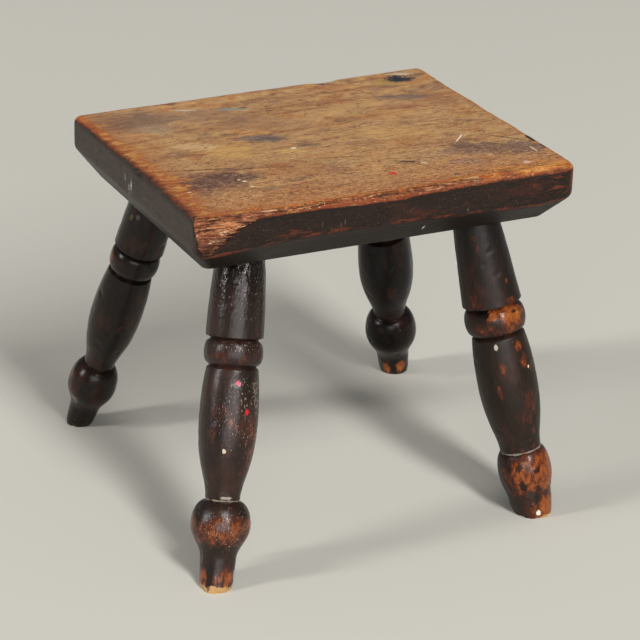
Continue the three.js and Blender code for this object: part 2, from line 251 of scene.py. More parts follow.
def rubbed_bright(place):
    """How close a point of the top is to a rubbed edge, from 0 well inside to 1 at the edge"""
    from_left = place.x - board_low.x
    from_front = place.y - board_low.y
    from_back = part_way(LEFT_DEPTH, RIGHT_DEPTH, from_left / FRONT_LENGTH) - from_front
    from_right = part_way(FRONT_LENGTH, BACK_LENGTH, from_front / RIGHT_DEPTH) - from_left
    reaches = (from_front / read_off(FRONT_RUBBED, from_left), from_left / read_off(LEFT_RUBBED, from_front),
               from_back / BACK_RUBBED, from_right / RIGHT_RUBBED)
    return max(0, 1 - min(reaches))


def torn_up(place):
    """How torn the wood is at a point near the front arris or on the split face, from 0 to 1"""
    from_left = place.x - board_low.x
    from_arris = math.hypot(place.y - board_low.y, TOP - place.z)
    torn = read_off(FRONT_TORN, from_left) * (1 - eased(from_arris, 0.25 * TORN_REACH, TORN_REACH))
    return max(torn, eased(split_off(place), -2 * MM, 0.5 * MM))


def lower_arris(place, outward):
    """1 on the lower arris, where the side turns into its chamfer, and 0 a few millimetres from it"""
    band = by_side(place, outward, FRONT_ARRIS_LINE, EDGE_BAND, LEFT_ARRIS_LINE, EDGE_BAND)
    return max(0, 1 - abs(TOP - place.z - band) / ARRIS_REACH)


def parallel_to(mesh, axis):
    """The edges of a mesh that run along one axis"""
    return [e for e in mesh.edges if abs((e.verts[0].co - e.verts[1].co).normalized()[axis]) > 0.99]


def object_from(mesh, name):
    """A smooth-shaded object made of a bmesh, which is used up"""
    data = bpy.data.meshes.new(name)
    mesh.to_mesh(data)
    mesh.free()
    data.shade_smooth()
    made = bpy.data.objects.new(name, data)
    bpy.context.scene.collection.objects.link(made)
    return made


plank = bmesh.new()
bmesh.ops.create_cube(plank, size=2)
for axis, rows in enumerate((ROWS_ALONG, ROWS_ACROSS, ROWS_DEEP)):
    bmesh.ops.subdivide_edges(plank, edges=parallel_to(plank, axis), cuts=rows - 1, use_grid_fill=True)
stain_from = plank.verts.layers.float.new("stain_from")
bright = plank.verts.layers.float.new("bright")
torn = plank.verts.layers.float.new("torn")
arris = plank.verts.layers.float.new("arris")
side = plank.verts.layers.float.new("side")
for vert in plank.verts:
    place, inset, outward, depth = sawn_place(vert.co)
    place = round_top_arris(place, inset, outward, depth)
    depth = by_side(place, outward, FRONT_STAIN_LINE, BACK_STAIN_DEPTH, LEFT_STAIN_LINE, RIGHT_STAIN_DEPTH)
    vert[stain_from] = depth + max(0, inset - ARRIS_REACH) / 3
    vert[bright] = rubbed_bright(place)
    vert[torn] = torn_up(place)
    vert[arris] = lower_arris(place, outward) * eased(-outward.y, 0.3, 0.8)
    vert[side] = outward.x
    vert.co = worn_place(place, TOP - place.z)
board = object_from(plank, "worn_board")


def tint(red, green, blue):
    """A colour seen as 0 to 255 in each channel, as the shader wants it"""
    def linear(value):
        value /= 255
        return value / 12.92 if value <= 0.04045 else ((value + 0.055) / 1.055) ** 2.4
    return (linear(red), linear(green), linear(blue), 1)


class Finish:
    """A wood finish laid on in coats. Each coat is a colour that a mask holds back."""

    def __init__(self, name, gloss, undercoat):
        self.material = bpy.data.materials.new(name)
        self.material.use_nodes = True
        self.nodes = self.material.node_tree.nodes
        self.links = self.material.node_tree.links
        self.shader = self.nodes["Principled BSDF"]
        self.shader.inputs["Specular IOR Level"].default_value = gloss
        self.colour = tint(*undercoat)
        self.roughness = 0.5
        self.height = 0
        self.place = self.add("ShaderNodeTexCoord").outputs["Object"]

    def add(self, kind, inputs=(), **settings):
        """A new node, with its sockets set to values or linked to what other nodes give"""
        node = self.nodes.new(kind)
        for setting, value in settings.items():
            setattr(node, setting, value)
        for socket, value in dict(inputs).items():
            self.feed(node.inputs[socket], value)
        return node

    def feed(self, socket, value):
        if isinstance(value, bpy.types.NodeSocket):
            self.links.new(value, socket)
        else:
            socket.default_value = value

    def sum(self, operation, first, second=0.0, third=0.0):
        return self.add("ShaderNodeMath", {0: first, 1: second, 2: third}, operation=operation).outputs[0]

    def scaled(self, value, factor, shift):
        """A value times a factor, and then shifted"""
        return self.sum("MULTIPLY_ADD", value, factor, shift)

    def both(self, first, second):
        return self.sum("MULTIPLY", first, second)

    def less(self, mask):
        return self.sum("SUBTRACT", 1.0, mask)

    def away(self, value, middle):
        """How far a value lies from a middle one, either way"""
        return self.sum("ABSOLUTE", self.sum("SUBTRACT", value, middle))

    def nudged(self, value, bumps, amount):
        """A value pushed up and down by noise that lies about 0.5"""
        return self.scaled(self.sum("SUBTRACT", bumps, 0.5), amount, value)

    def rise(self, value, low, high):
        """0 up to low, 1 from high on. With low above high it falls instead."""
        flip = low > high
        inputs = {"Value": value, "From Min": min(low, high), "From Max": max(low, high),
                  "To Min": float(flip), "To Max": float(not flip)}
        return self.add("ShaderNodeMapRange", inputs, interpolation_type="SMOOTHSTEP").outputs["Result"]

    def turned(self, centre=(0, 0, 0), turn=(0, 0, 0), size=(1, 1, 1), of=None):
        """Coordinates about a centre, turned, with a bump of the given size one unit long"""
        place = self.place if of is None else of
        inputs = {"Vector": place, "Location": centre, "Rotation": turn, "Scale": size}
        return self.add("ShaderNodeMapping", inputs, vector_type="TEXTURE").outputs["Vector"]

    def mottle(self, size, detail=2.0, coarse=0.5, swirl=0.0, centre=(0, 0, 0), turn=(0, 0, 0), of=None):
        """Noise about 0.5, with bumps of a size in millimetres along each axis"""
        place = self.turned(centre, turn, [side * MM for side in size], of)
        inputs = {"Vector": place, "Scale": 1.0, "Detail": detail, "Roughness": coarse, "Distortion": swirl}
        return self.add("ShaderNodeTexNoise", inputs, noise_dimensions="3D").outputs["Fac"]

    def axes(self):
        return self.add("ShaderNodeSeparateXYZ", {0: self.place}).outputs

    def carried(self, name):
        """A value that the mesh carries at its points"""
        return self.add("ShaderNodeAttribute", attribute_name=name).outputs["Fac"]

    def reach(self, centre, size):
        """Distance from a place, with 1 on the rim of an oval of the given half sizes"""
        offset = self.turned(centre, size=size)
        return self.add("ShaderNodeVectorMath", {0: offset}, operation="LENGTH").outputs["Value"]

    def coat(self, colour, mask, strength=1.0):
        node = self.add("ShaderNodeMix", data_type="RGBA")
        self.feed(node.inputs["Factor"], mask if strength == 1.0 else self.both(mask, strength))
        below, above = [socket for socket in node.inputs if socket.type == "RGBA"]
        self.feed(below, self.colour)
        self.feed(above, tint(*colour))
        self.colour = next(socket for socket in node.outputs if socket.type == "RGBA")

    def coats(self, over, *rows):
        """Coats inside one mask, or everywhere without one. Each has its colour, a value that holds it
        back up to a low limit and lets it through past a high one, and its strength."""
        for colour, value, low, high, strength in rows:
            mask = self.rise(value, low, high)
            self.coat(colour, mask if over is None else self.both(over, mask), strength)

    def ovals(self, stretch, bearing, rough, edges, marks, over=None):
        """Coats on ovals that share their bearing about Z in degrees and how far they stretch along
        each axis. Noise roughens their rims, which run between two edges. Each has its place, on the
        top where it has no height, and its half width in millimetres, a colour and a strength."""
        turning = Matrix.Rotation(math.radians(-bearing), 3, "Z")
        stretched = self.turned(turn=(0, 0, math.radians(bearing)), size=stretch)
        for place, half_width, colour, strength in marks:
            if len(place) == 2:
                place = (*place, TOP / MM)
            centre = [reach / share for reach, share in zip(turning @ (Vector(place) * MM), stretch)]
            distance = self.add("ShaderNodeVectorMath", {0: stretched, 1: centre}, operation="DISTANCE")
            rim = self.scaled(distance.outputs["Value"], 1 / (half_width * MM), rough)
            self.coats(over, (colour, rim, *edges, strength))

    def rub(self, roughness, mask):
        """Changes how dull the surface is where the mask lets it"""
        now = self.roughness
        self.roughness = self.scaled(mask, self.sum("SUBTRACT", roughness, now), now)

    def lift(self, mask, height):
        """Raises the surface by up to a height where the mask lets it"""
        self.height = self.scaled(mask, height, self.height)

    def done(self):
        bump = self.add("ShaderNodeBump", {"Distance": 1.0, "Strength": 1.0, "Height": self.height})
        given = {"Base Color": self.colour, "Roughness": self.roughness, "Normal": bump.outputs["Normal"]}
        for socket, value in given.items():
            self.feed(self.shader.inputs[socket], value)
        return self.material


GRAIN_WANDER = 20 * MM
SOFT_RIM = (1.15, 0.45)
CRISP_RIM = (1.2, 0.8)
wood = Finish("worn_board_wood", 0.17, (188, 143, 97))
x, y, z = wood.axes()
below_top = wood.sum("SUBTRACT", TOP, z)
# The front of the board has had the hardest wear, so its marks are sharper than those at the back
sharp = wood.scaled(wood.rise(y, 80 * MM, -90 * MM), 0.9, 0.1)
half_sharp = wood.scaled(sharp, 0.6, 0.4)

# The grain runs along the board: broad bands of growth, streaks, hair-fine fibres and thin veins
drift = wood.mottle((70, 40, 40), detail=1)
bend = {0: drift, 1: (0, GRAIN_WANDER, 0), 2: wood.place}
flow = wood.add("ShaderNodeVectorMath", bend, operation="MULTIPLY_ADD").outputs["Vector"]
bands = wood.mottle((110, 11, 11), detail=4, coarse=0.62, swirl=0.4, of=flow)
streaks = wood.mottle((17, 2.2, 2.2), detail=5, coarse=0.72, swirl=0.3, of=flow)
fibres = wood.mottle((4.5, 0.8, 0.8), detail=4, coarse=0.65, of=flow)
pores = wood.mottle((3, 0.75, 0.75), detail=2, coarse=0.6, centre=(MM, MM, MM), of=flow)
veins = wood.mottle((70, 7, 7), detail=4, coarse=0.6, swirl=0.4, centre=(MM, 90 * MM, 0), of=flow)
clouds = wood.mottle((34, 22, 26), detail=5, coarse=0.65, swirl=0.5)
small_clouds = wood.mottle((10, 6, 7), detail=5, coarse=0.7, swirl=0.6)
grit = wood.mottle((2.2, 1.4, 1.5), detail=3, coarse=0.7)
wood.coats(None, ((204, 160, 108), bands, 0.5, 0.66, 0.6), ((146, 98, 66), bands, 0.49, 0.36, 0.65),
           ((180, 112, 62), clouds, 0.52, 0.64, 0.6), ((140, 106, 84), clouds, 0.47, 0.35, 0.6),
           ((210, 166, 102), small_clouds, 0.53, 0.65, 0.7), ((112, 72, 52), small_clouds, 0.47, 0.35, 0.75))

# Stains and rubbed places on the top, with ragged rims that follow the grain
ragged = wood.mottle((15, 5, 6), detail=5, coarse=0.7, swirl=0.6)
ragged_rim = wood.scaled(ragged, 2.4, -1.2)
wood.ovals((1.3, 1, 10), -12, ragged_rim, SOFT_RIM, (
    ((-108, 84), 27, (112, 90, 80), 0.7), ((-102, 63), 13, (170, 146, 118), 0.6),
    ((-69, 0), 20, (206, 160, 96), 0.8), ((-108, -52), 25, (108, 74, 66), 0.9),
    ((-122, -52), 15, (84, 58, 58), 0.9), ((-102, -72), 12, (196, 148, 100), 0.6),
    ((128, -66), 16, (108, 94, 88), 0.95), ((118, 50), 17, (150, 100, 70), 0.6),
    ((102, 97), 8, (168, 140, 74), 0.75)))
wood.ovals((2.6, 1, 10), -18, ragged_rim, SOFT_RIM, (
    ((-62, 78), 17, (140, 112, 92), 0.5), ((-26, 44), 15, (150, 110, 84), 0.5),
    ((-90, 20), 7.5, (212, 172, 124), 0.9), ((-30, -14), 6, (212, 168, 102), 0.85),
    ((-38, 17), 8, (108, 98, 94), 0.85), ((-31, 15), 4, (80, 74, 78), 0.7),
    ((-12, -6), 5, (110, 90, 78), 0.75), ((-88, -44), 8.5, (84, 58, 58), 0.9),
    ((-40, -50), 14, (172, 108, 64), 0.5), ((20, -40), 17, (196, 148, 96), 0.6),
    ((52, -6), 16, (204, 160, 100), 0.6), ((74, 30), 12, (200, 152, 96), 0.5),
    ((104, -60), 14, (118, 88, 76), 0.9), ((78, -78), 7, (150, 124, 110), 0.7),
    ((87, 41), 7, (152, 92, 68), 0.6), ((98, 61), 8, (110, 94, 88), 0.75)))
wood.coats(None, ((190, 106, 52), y, -50 * MM, -110 * MM, 0.45),
           ((150, 84, 48), wood.nudged(x, clouds, 60 * MM), -104 * MM, -142 * MM, 0.38))
wood.coats(half_sharp, ((214, 172, 120), streaks, 0.54, 0.68, 0.5), ((96, 58, 42), streaks, 0.47, 0.34, 0.75))
wood.coats(sharp, ((226, 184, 128), fibres, 0.54, 0.66, 0.65), ((84, 50, 36), fibres, 0.46, 0.33, 0.8),
           ((218, 172, 114), grit, 0.56, 0.66, 0.38), ((96, 58, 40), grit, 0.44, 0.34, 0.36))
wood.coats(wood.rise(small_clouds, 0.42, 0.56), ((84, 44, 32), wood.away(veins, 0.5), 0.014, 0.004, 0.6))

# Edges rubbed bright: orange and ochre, broken by the grain, red-brown at the very edge
bright = wood.nudged(wood.nudged(wood.carried("bright"), ragged, 0.8), small_clouds, 1.2)
at_right = wood.rise(wood.nudged(x, clouds, 50 * MM), 72 * MM, 100 * MM)
very_edge = wood.nudged(wood.carried("bright"), ragged, 0.7)
wood.coats(None, ((168, 88, 42), bright, 0.22, 0.55, 0.85))
wood.coats(wood.rise(bright, 0.34, 0.56), ((200, 142, 74), small_clouds, 0.5, 0.6, 0.85))
wood.coats(wood.both(wood.rise(bright, 0.3, 0.5), at_right), ((214, 150, 74), streaks, 0.42, 0.56, 0.7))
wood.coats(None, ((118, 52, 30), very_edge, 0.72, 0.94, 0.75))
wood.coats(wood.rise(bright, 0.3, 0.6), ((70, 36, 27), streaks, 0.45, 0.36, 0.8))
wood.coats(wood.rise(bright, 0.4, 0.7), ((222, 172, 100), streaks, 0.56, 0.66, 0.6))

# Torn wood at the split corner and along the front arris: pale lifted fibres, partly fresh wood and partly
# painted highlight on their ridges, and dark between them and along the layers, which is painted shade in the
# cracks
slivers = wood.mottle((26, 2, 1.6), detail=3, coarse=0.55, swirl=0.15, of=flow)
layers = wood.mottle((22, 3, 2.2), detail=4, coarse=0.65, swirl=0.5, of=flow)
torn = wood.nudged(wood.nudged(wood.carried("torn"), layers, 1.2), small_clouds, 1.2)
in_torn = wood.rise(torn, 0.5, 0.7)
wood.coats(None, ((160, 96, 60), torn, 0.4, 0.6, 1))
wood.coats(in_torn, ((194, 136, 88), small_clouds, 0.45, 0.6, 0.75), ((122, 62, 48), layers, 0.5, 0.38, 0.8),
           ((96, 48, 36), wood.nudged(below_top, layers, 14 * MM), 10 * MM, 20 * MM, 0.8),
           ((228, 188, 146), slivers, 0.54, 0.68, 0.58), ((62, 33, 26), slivers, 0.47, 0.38, 0.85),
           ((56, 30, 27), wood.away(layers, 0.53), 0.034, 0.012, 0.9))

# Pores, pale pinpricks that are painted glints, and hairline scratches in all directions
near_front = wood.rise(y, 20 * MM, -90 * MM)
glint_pricks = wood.mottle((1.4, 0.9, 1), detail=1, centre=(9 * MM, 5 * MM, 0))
wood.coats(wood.less(in_torn),
           ((60, 36, 28), wood.scaled(near_front, -0.06, pores), 0.35, 0.28, 0.8),
           ((232, 202, 160), wood.scaled(near_front, 0.04, glint_pricks), 0.73, 0.78, 0.8))
for size, bearing, colour, strength in ((70, 35, (84, 52, 38), 0.5), (90, -50, (96, 62, 46), 0.4),
                                        (80, 10, (222, 188, 146), 0.4)):
    bow = wood.mottle((size, size / 3, size), detail=1, coarse=0.3, turn=(0, 0, math.radians(bearing)))
    hair = wood.rise(wood.away(bow, 0.5), 0.006, 0.002)
    wood.coats(hair, (colour, small_clouds, 0.5, 0.6, strength))

# Marks of use, one by one: drops and specks, dashes, long scratches with the grain and across it
grit_rim = wood.scaled(grit, 2.2, -1.1)
wood.ovals((1.4, 1, 10), -14, grit_rim, CRISP_RIM, (
    ((115, 99), 7.5, (44, 48, 56), 1), ((-25, -8), 1.4, (238, 228, 212), 1),
    ((-85, -55), 1.3, (230, 204, 164), 0.95), ((-87, -51), 1, (230, 204, 164), 0.9),
    ((-84, -66), 1.2, (228, 200, 158), 0.9), ((-128, -60), 1.2, (226, 196, 152), 0.9),
    ((17, -78), 2, (216, 48, 48), 1), ((58, -96), 1.6, (80, 72, 70), 0.85),
    ((115, -93), 2, (226, 200, 190), 0.7), ((90, -46), 6, (104, 78, 70), 0.7),
    ((47, -68), 1.5, (226, 208, 186), 0.7)))
wood.ovals((5, 1, 10), -18, grit_rim, CRISP_RIM, (
    ((120, 108), 2, (196, 184, 164), 0.7), ((56, 108), 1.6, (80, 66, 84), 0.7),
    ((-33, 82), 2.1, (122, 146, 140), 0.85), ((-65, 92), 1.6, (204, 188, 166), 0.7),
    ((-92, 4), 1.2, (126, 82, 56), 0.65), ((-74, -74), 1.1, (122, 120, 98), 0.7),
    ((38, -62), 1.4, (48, 40, 40), 0.9)))
wood.ovals((30, 1, 10), -13, grit_rim, CRISP_RIM, (
    ((-104, -24), 0.9, (76, 42, 34), 0.8), ((-72, -34), 0.8, (88, 46, 36), 0.75),
    ((-2, -37), 0.7, (96, 60, 44), 0.7)))
wood.ovals((15, 1, 10), 46, grit_rim, CRISP_RIM, (
    ((94, -33), 0.62, (238, 226, 206), 0.95), ((102, -28), 0.4, (214, 190, 160), 0.7)))
wood.ovals((26, 1, 10), -46, grit_rim, CRISP_RIM, (
    ((128, -46), 0.8, (84, 64, 54), 0.6), ((115, -55), 0.7, (92, 70, 60), 0.55)))
wood.ovals((1, 4, 10), 0, grit_rim, CRISP_RIM, (
    ((133, -72), 1.3, (206, 184, 152), 0.7), ((142, -52), 1.8, (36, 30, 30), 0.95),
    ((143, -68), 1.2, (40, 34, 34), 0.9)))

# The stain that use hasn't reached, on the sides and underneath. Its upper edge is ragged, most of
# all beside the split corner.
teeth = wood.mottle((4, 2.2, 1.3), detail=5, coarse=0.75)
edge = wood.nudged(wood.nudged(wood.carried("stain_from"), teeth, 3.2 * MM), layers, 2.6 * MM)
near_split = wood.both(wood.rise(x, -96 * MM, -122 * MM), wood.rise(y, -96 * MM, -108 * MM))
edge = wood.scaled(wood.both(wood.sum("SUBTRACT", layers, 0.47), near_split), 26 * MM, edge)
past_edge = wood.sum("SUBTRACT", below_top, edge)
stained = wood.rise(past_edge, -0.3 * MM, 0.5 * MM)
wood.coats(None, ((104, 46, 28), past_edge, -1.6 * MM, -0.2 * MM, 0.75))
wood.coat((36, 26, 21), stained)

# Smears, scrapes and chafed wood on the stained sides. The left end is painted lighter all over, which is
# painted light where the left lamp falls, with mottled dust on it
smears = wood.mottle((24, 14, 6), detail=5, coarse=0.65, swirl=0.8)
scrapes = wood.mottle((1.1, 1.1, 6), detail=3, coarse=0.6, swirl=0.3)
chafed = wood.mottle((9, 9, 2.2), detail=5, coarse=0.75, swirl=0.5)
left_end_dust_and_light = wood.both(stained, wood.rise(wood.carried("side"), -0.6, -0.95))
wood.coat((64, 55, 48), left_end_dust_and_light, 0.75)
wood.coats(stained, ((58, 33, 26), smears, 0.52, 0.64, 0.6), ((26, 20, 17), smears, 0.47, 0.36, 0.6))
wood.coats(left_end_dust_and_light, ((92, 82, 72), small_clouds, 0.56, 0.68, 0.5))
wood.coats(stained, ((90, 68, 57), grit, 0.59, 0.68, 0.5), ((16, 13, 11), grit, 0.43, 0.34, 0.6),
           ((82, 54, 42), fibres, 0.56, 0.68, 0.4))
top = TOP / MM
wood.ovals((4, 3, 1), 0, wood.scaled(chafed, 5, -2.5), (0.55, 0.2), (
    ((108, -112, top - 15), 11, (84, 40, 27), 0.3), ((-75, -112, top - 20), 5, (104, 50, 30), 0.55),
    ((-40, -112, top - 22), 3, (104, 50, 30), 0.55), ((20, -112, top - 19), 6, (88, 42, 28), 0.3),
    ((142, -95, top - 12), 9, (120, 56, 30), 0.6)), over=stained)
lower_line = wood.nudged(wood.nudged(wood.carried("arris"), teeth, 1.6), smears, 2)
# The second of these coats is painted shade: from 27 to 30 mm below the top downwards, mostly on the chamfers
# and the underside that face the floor, the stain is darker
wood.coats(stained, ((140, 76, 38), wood.nudged(x, chafed, 16 * MM), 141 * MM, 148 * MM, 0.75),
           ((26, 20, 16), below_top, 27 * MM, 30 * MM, 0.8), ((108, 50, 30), lower_line, 0.84, 1.02, 0.75))
wood.coats(wood.both(stained, wood.rise(scrapes, 0.68, 0.74)), ((140, 130, 118), smears, 0.5, 0.6, 0.7))

# Scratches on both sides, and worm holes in the left end, drawn as black dots, which is painted shade in
# holes that the mesh doesn't have
wood.ovals((10, 1, 4), 0, wood.scaled(grit, 6, -3), (1.2, 0.6), (
    ((-145, 1, 247), 1, (190, 184, 172), 0.9), ((-145, 5, 244), 0.8, (170, 164, 152), 0.8),
    ((-145, 12, 249), 0.7, (150, 144, 132), 0.7)), over=stained)
wood.ovals((1, 1, 1), 0, grit_rim, CRISP_RIM, (
    ((-146, -44, 255), 1.2, (12, 10, 10), 1), ((-146, -100, 247), 1.2, (12, 10, 10), 1)), over=stained)
wood.ovals((1, 10, 6), 0, grit_rim, CRISP_RIM, (
    ((-35, -111, 245), 0.4, (112, 104, 96), 0.4), ((-38, -111, 243), 0.4, (104, 96, 88), 0.35),
    ((-52, -111, 246), 0.4, (104, 96, 88), 0.3)), over=stained)
wood.ovals((1, 10, 2.2), 0, grit_rim, CRISP_RIM, (
    ((30, -103, 228), 0.8, (196, 190, 180), 0.85), ((60, -111, 240), 0.5, (112, 102, 94), 0.5)), over=stained)

wood.roughness = 0.42
wood.rub(0.3, wood.rise(bright, 0.4, 0.7))
wood.rub(0.6, wood.rise(torn, 0.45, 0.7))
wood.rub(0.42, stained)
on_wood = wood.less(stained)
for relief, where, height in ((streaks, on_wood, 0.5), (fibres, on_wood, 0.25), (grit, on_wood, 0.12),
                              (slivers, in_torn, 0.7), (layers, in_torn, 1.8), (scrapes, stained, 0.1),
                              (chafed, stained, 0.5)):
    wood.lift(wood.both(relief, where), height * MM)
board.data.materials.append(wood.done())
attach(board, "root")
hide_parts("seat_board")


# The turned legs
# Each is one turning of the same wood, stained near black: a skirt pared to the board, a bead
# between two grooves, a vase, a bulb and a tapered foot, with a wedged tenon at the top in a blind
# socket. All four were turned and set by eye, so no two are alike.
UNDERSIDE = board_low.z
SHOULDER_GAP = 0.3 * MM
TENON_RADIUS = 12.5 * MM
TENON_SPREAD = 0.7 * MM
TENON_CLEARANCE = 0.3 * MM
TENON_STRAIGHT = 8 * MM
SOCKET_COVER = 9 * MM
WEDGE_TIP = 0.8 * MM
WEDGE_HEAD = 4 * MM
GROOVE_WIDTH = 3 * MM
GROOVE_DEPTH = 2.6 * MM
NECK_LINE_WIDTH = 1.2 * MM
NECK_LINE_DEPTH = 0.7 * MM
TURNING_STEPS = 112
HIDDEN_STEPS = 48
ROW = 1.2 * MM
HIDDEN_ROW = 4 * MM
UNEVENNESS = 0.22 * MM
CHATTER = 0.09 * MM
DENT_DEPTH = 0.5 * MM
WORN_FOOT = 3.5 * MM
ZONE_CORE = 0.35
ZONE_RIM = 1.25


class Leg:
    """One leg: the corner it stands under, its socket and splay, and the sizes of its turning"""

    def __init__(self, corner, socket, splay, lengths, radii, seed):
        (corner_x, corner_y), (end_side, long_side) = corner
        self.skirt, self.bead_length, self.vase, self.bulb_length, self.foot = (v * MM for v in lengths)
        (self.skirt_top, self.swell, self.skirt_foot, self.bead, self.bulge, self.belly, self.neck_radius,
         self.bulb, self.ankle_radius, self.foot_radius) = (v * MM for v in radii)
        self.origin = Vector((corner_x - end_side * socket[0] * MM, corner_y - long_side * socket[1] * MM,
                              UNDERSIDE))
        self.up = Vector((-end_side * math.tan(math.radians(splay[0])),
                          -long_side * math.tan(math.radians(splay[1])), 1)).normalized()
        turn = Vector((0, 0, 1)).rotation_difference(self.up).to_matrix()
        self.turn = turn.to_euler()
        self.place = Matrix.Translation(self.origin) @ turn.to_4x4()
        self.seed = Vector((seed, -seed, seed)) * 311 * MM
        self.bead_top = -self.skirt - GROOVE_WIDTH
        self.bead_end = self.bead_top - self.bead_length
        self.vase_top = self.bead_end - GROOVE_WIDTH
        self.neck = self.vase_top - self.vase
        self.bulb_top = self.neck - NECK_LINE_WIDTH
        self.bulb_widest = self.bulb_top - 0.42 * self.bulb_length
        self.ankle = self.bulb_top - self.bulb_length
        self.foot_end = self.ankle - self.foot
        lean = math.acos(self.up.z)
        tilted_radius = TENON_RADIUS * math.sin(lean)
        self.tenon_end = (THICKNESS - SOCKET_COVER - tilted_radius) / math.cos(lean) - TENON_CLEARANCE
        self.skirt_spare = 2 * self.skirt_top * math.tan(lean)


front_left_corner = (board_low.x, board_low.y)
front_right_corner = (board_low.x + FRONT_LENGTH, board_low.y)
back_right_corner = (board_low.x + BACK_LENGTH, board_low.y + RIGHT_DEPTH)
back_left_corner = (board_low.x, board_low.y + LEFT_DEPTH)
LEGS = {
    # Socket from the end and the side, splay to the end and the side in degrees, lengths of skirt,
    # bead, vase, bulb and foot, and radii from the skirt's top down, with the skirt's swell second
    # and the bead's bulge fifth
    "leg_front_left": Leg((front_left_corner, (-1, -1)), (52.5, 41.5), (11.8, 17.1), (60.5, 16, 90, 41, 20),
                          (16.6, 1.6, 19.9, 21.3, 3.8, 20.4, 12.2, 20.8, 12.4, 11.4), 1),
    "leg_front_right": Leg((front_right_corner, (1, -1)), (61.5, 36), (8.7, 13.2), (65, 19, 87, 39, 17),
                           (16.4, 0.2, 21.4, 23.4, 5.5, 21.6, 15, 19.5, 15.6, 12.6), 2),
    "leg_back_right": Leg((back_right_corner, (1, 1)), (58.5, 45), (14, 14.7), (61, 18, 84, 45.5, 18.5),
                          (17, 0.8, 20, 21.1, 4.4, 21.4, 12.8, 20.2, 12.7, 11.4), 3),
    "leg_back_left": Leg((back_left_corner, (-1, 1)), (55.5, 38.5), (11, 16.1), (62.5, 18.5, 86, 44, 18),
                         (16.8, 0.6, 18.8, 19.8, 4.6, 19.2, 11.6, 18.5, 11, 9.6), 4),
}


class Outline:
    """Half the section of a turning, drawn upwards in radius and height, with a point every row"""

    def __init__(self, radius, height, row=ROW):
        self.points = [Vector((radius, 0, height))]
        self.row = row

    def line(self, radius, height):
        start = self.points[-1]
        end = Vector((radius, 0, height))
        rows = max(1, round((end - start).length / self.row))
        self.points += [start.lerp(end, (row + 1) / rows) for row in range(rows)]

    def curve(self, first, second, end):
        start = self.points[-1]
        handles = [Vector((radius, 0, height)) for radius, height in (first, second, end)]
        rows = max(3, round((handles[-1] - start).length / self.row))
        self.points += interpolate_bezier(start, handles[0], handles[1], handles[2], rows + 1)[1:]


def spun(mesh, outline, steps):
    """Turns an outline about the Z axis into a mesh"""
    points = [mesh.verts.new(point) for point in outline.points]
    edges = [mesh.edges.new(pair) for pair in zip(points, points[1:])]
    bmesh.ops.spin(mesh, geom=points + edges, cent=(0, 0, 0), axis=(0, 0, 1), angle=2 * math.pi,
                   steps=steps, use_merge=True)
    bmesh.ops.remove_doubles(mesh, verts=mesh.verts, dist=1e-6)


def leg_outline(leg):
    """From below the floor up: foot, bulb, neck line, vase, groove, bead, groove and skirt. The
    handles of each curve lie at a share of its length."""
    outline = Outline(leg.foot_radius, leg.foot_end - 2 * leg.foot_radius)
    outline.line(leg.foot_radius, leg.foot_end)
    outline.line(leg.ankle_radius, leg.ankle)
    outline.curve((leg.ankle_radius, leg.ankle + 0.25 * leg.bulb_length),
                  (leg.bulb, leg.bulb_widest - 0.25 * leg.bulb_length), (leg.bulb, leg.bulb_widest))
    outline.curve((leg.bulb, leg.bulb_widest + 0.25 * leg.bulb_length),
                  ((leg.neck_radius + leg.bulb) / 2, leg.bulb_top - 0.03 * leg.bulb_length),
                  (leg.neck_radius, leg.bulb_top))
    outline.line(leg.neck_radius - NECK_LINE_DEPTH, leg.neck - NECK_LINE_WIDTH / 2)
    outline.line(leg.neck_radius, leg.neck)
    belly = leg.vase_top - 0.4 * leg.vase
    vase_edge = leg.belly - GROOVE_DEPTH
    outline.curve((leg.neck_radius, leg.neck + 0.16 * leg.vase), (leg.belly, belly - 0.36 * leg.vase),
                  (leg.belly, belly))
    outline.curve((leg.belly, belly + 0.18 * leg.vase),
                  (leg.belly - GROOVE_DEPTH / 2, leg.vase_top - 0.08 * leg.vase), (vase_edge, leg.vase_top))
    bead_edge = leg.bead - leg.bulge
    outline.line(min(vase_edge, bead_edge) - GROOVE_DEPTH / 2, leg.bead_end - GROOVE_WIDTH / 2)
    outline.line(bead_edge, leg.bead_end)
    outline.curve((leg.bead, leg.bead_end + 0.05 * leg.bead_length),
                  (leg.bead, leg.bead_top - 0.05 * leg.bead_length), (bead_edge, leg.bead_top))
    outline.line(min(bead_edge, leg.skirt_foot) - GROOVE_DEPTH / 2, -leg.skirt - GROOVE_WIDTH / 2)
    outline.line(leg.skirt_foot, -leg.skirt)
    # A quadratic swell, as the cubic that runs the same way
    swell = (leg.skirt_top + leg.skirt_foot) / 2 + leg.swell
    outline.curve((part_way(leg.skirt_foot, swell, 2 / 3), -leg.skirt * 2 / 3),
                  (part_way(leg.skirt_top, swell, 2 / 3), -leg.skirt / 3), (leg.skirt_top, 0))
    outline.line(leg.skirt_top, leg.skirt_spare)
    return outline


def tenon_outline(leg, clearance):
    """The tenon, which its wedge spreads at the end, from inside the leg up to the middle of its end"""
    outline = Outline(TENON_RADIUS + clearance, -TENON_STRAIGHT, HIDDEN_ROW)
    outline.line(TENON_RADIUS + clearance, TENON_STRAIGHT)
    outline.line(TENON_RADIUS + TENON_SPREAD + clearance, leg.tenon_end + clearance)
    outline.line(0, leg.tenon_end + clearance)
    return outline


